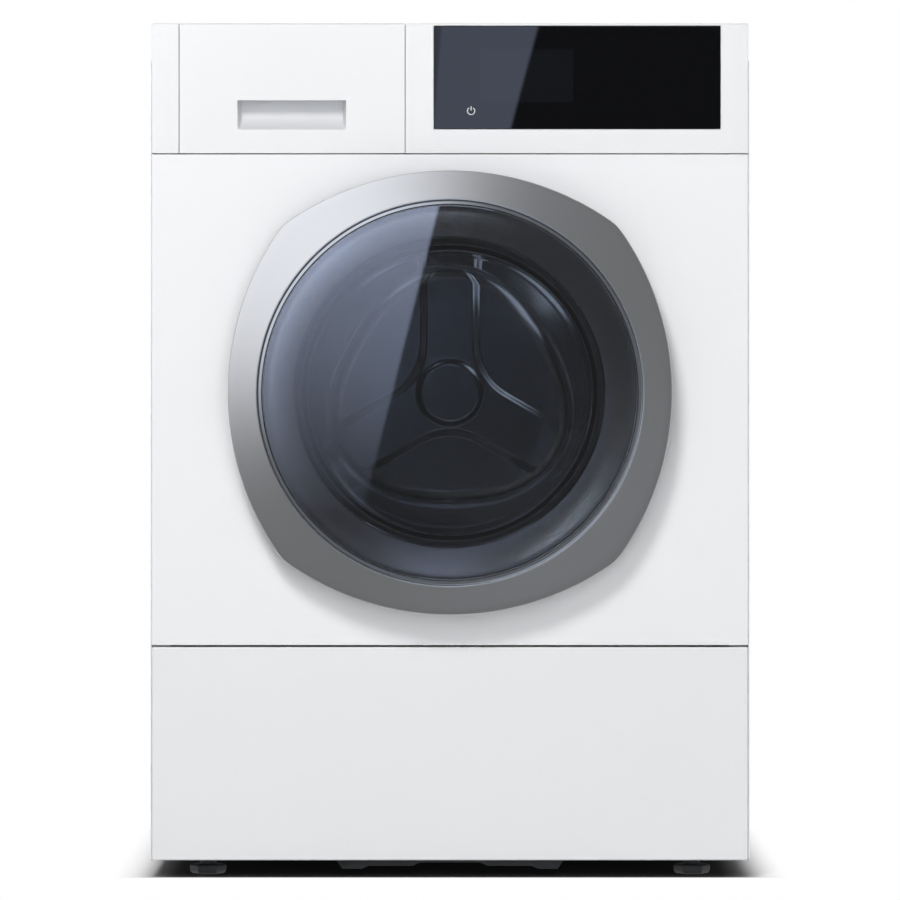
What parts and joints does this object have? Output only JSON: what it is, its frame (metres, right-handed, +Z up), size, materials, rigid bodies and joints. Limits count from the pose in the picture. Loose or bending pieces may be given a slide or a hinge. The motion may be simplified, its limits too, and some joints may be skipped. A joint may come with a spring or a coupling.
{
  "type": "washing machine",
  "caption": "Free-standing front-loading washing machine with a swinging porthole door, a detergent drawer, a lower service flap, a hung tub and a belt-driven drum.",
  "frame": {"origin": "centre of the footprint at floor level, midway between the door's face and the rear fittings", "axes": "+X right seen from the front, +Y to the rear, +Z up"},
  "size_m": [0.596, 0.64, 0.85],
  "materials": {
    "white_enamel": "gloss",
    "white_plastic": "satin",
    "white_top": "melamine faced",
    "satin_metal": "satin",
    "bright_steel": "polished",
    "zinc_sheet": "galvanised",
    "tinted_glass": "polished",
    "clear_glass": "polished",
    "dark_plastic": "satin",
    "grey_plastic": "satin",
    "pale_plastic": "satin",
    "rubber": "matt",
    "black_rubber": "matt",
    "concrete": "cast",
    "alloy": "cast",
    "board": "printed circuit"
  },
  "bodies": {
    "cabinet": {"side_panel_left": "white_enamel", "side_panel_right": "white_enamel", "front_panel": "white_enamel", "control_fascia": "white_plastic", "worktop": "white_top", "hinge_pin": "bright_steel", "rear_panel": "zinc_sheet", "service_cover": "zinc_sheet", "top_crossbar": "zinc_sheet", "suspension_spring_left": "zinc_sheet", "suspension_spring_right": "zinc_sheet", "control_glass": "tinted_glass", "base_frame": "dark_plastic", "door_lock": "dark_plastic", "damper_cylinder_left": "dark_plastic", "damper_cylinder_right": "dark_plastic", "dispenser_housing": "grey_plastic", "drain_pump": "grey_plastic", "drain_outlet": "grey_plastic", "inlet_valve": "pale_plastic", "fill_bellows": "rubber", "door_seal": "rubber", "sump_hose": "rubber", "inlet_hose": "black_rubber", "cable_gland": "black_rubber", "hinge_bracket": "alloy", "control_board": "board"},
    "tub": {"tub_front_half": "grey_plastic", "tub_rear_half": "grey_plastic", "bearing_sleeve": "bright_steel", "counterweight_upper": "concrete", "counterweight_lower": "concrete", "heater": "bright_steel", "motor_housing": "alloy", "drive_belt": "black_rubber", "damper_rod_left": "bright_steel", "damper_rod_right": "bright_steel"},
    "drum": {"drum_shell": "bright_steel", "drum_back": "bright_steel", "lifter_1": "pale_plastic", "lifter_2": "pale_plastic", "lifter_3": "pale_plastic", "drum_spider": "alloy", "drum_shaft": "bright_steel", "drum_pulley": "alloy"},
    "motor": {"motor_rotor": "bright_steel"},
    "door": {"door_ring": "satin_metal", "door_glass": "tinted_glass", "door_frame": "dark_plastic", "door_bowl": "clear_glass", "door_hinge_arm": "alloy"},
    "latch": {"latch_hook": "alloy"},
    "drawer": {"drawer_front": "white_plastic", "drawer_tray": "pale_plastic"},
    "flap": {"service_flap": "white_plastic"},
    "filter": {"filter_cap": "dark_plastic"},
    "foot_1": {"foot_front_left": "black_rubber"},
    "foot_2": {"foot_front_right": "black_rubber"},
    "foot_3": {"foot_rear_left": "black_rubber"},
    "foot_4": {"foot_rear_right": "black_rubber"}
  },
  "joints": [
    {"name": "door_swing", "type": "hinge", "parent": "cabinet", "child": "door", "pos_m": [-0.205, -0.303, 0.4825], "axis": [0, 0, -1], "range_deg": [0, 150]},
    {"name": "latch_tilt", "type": "hinge", "parent": "door", "child": "latch", "pos_m": [0.1775, -0.2955, 0.4825], "axis": [0, 0, 1], "range_deg": [0, 9], "stiffness_Nm_per_rad": 0.4, "springref_deg": -5.73},
    {"name": "drawer_slide", "type": "slide", "parent": "cabinet", "child": "drawer", "axis": [0, -1, 0], "range_m": [0, 0.2]},
    {"name": "tub_float", "type": "slide", "parent": "cabinet", "child": "tub", "axis": [0, 0, 1], "range_m": [-0.008, 0.008], "stiffness_N_per_m": 12000, "springref_m": 0.02352, "deforming": ["suspension_spring_left", "suspension_spring_right", "fill_bellows", "door_seal", "sump_hose"]},
    {"name": "drum_spin", "type": "hinge", "parent": "tub", "child": "drum", "pos_m": [0, 0, 0.4825], "axis": [0, 1, 0], "continuous": true},
    {"name": "motor_spin", "type": "hinge", "parent": "tub", "child": "motor", "pos_m": [0.09, 0, 0.14], "axis": [0, 1, 0], "continuous": true},
    {"name": "flap_tilt", "type": "hinge", "parent": "cabinet", "child": "flap", "pos_m": [0, -0.268, 0.0176], "axis": [1, 0, 0], "range_deg": [0, 80]},
    {"name": "filter_turn", "type": "hinge", "parent": "cabinet", "child": "filter", "pos_m": [0.192, -0.23, 0.075], "axis": [0, -1, 0], "range_deg": [0, 90]},
    {"name": "foot_front_left_screw", "type": "slide", "parent": "cabinet", "child": "foot_1", "axis": [0, 0, -1], "range_m": [0, 0.012]},
    {"name": "foot_front_right_screw", "type": "slide", "parent": "cabinet", "child": "foot_2", "axis": [0, 0, -1], "range_m": [0, 0.012]},
    {"name": "foot_rear_left_screw", "type": "slide", "parent": "cabinet", "child": "foot_3", "axis": [0, 0, -1], "range_m": [0, 0.012]},
    {"name": "foot_rear_right_screw", "type": "slide", "parent": "cabinet", "child": "foot_4", "axis": [0, 0, -1], "range_m": [0, 0.012]}
  ],
  "couplings": [
    {"joint": "motor_spin", "follows": "drum_spin", "ratio": 12.174}
  ]
}
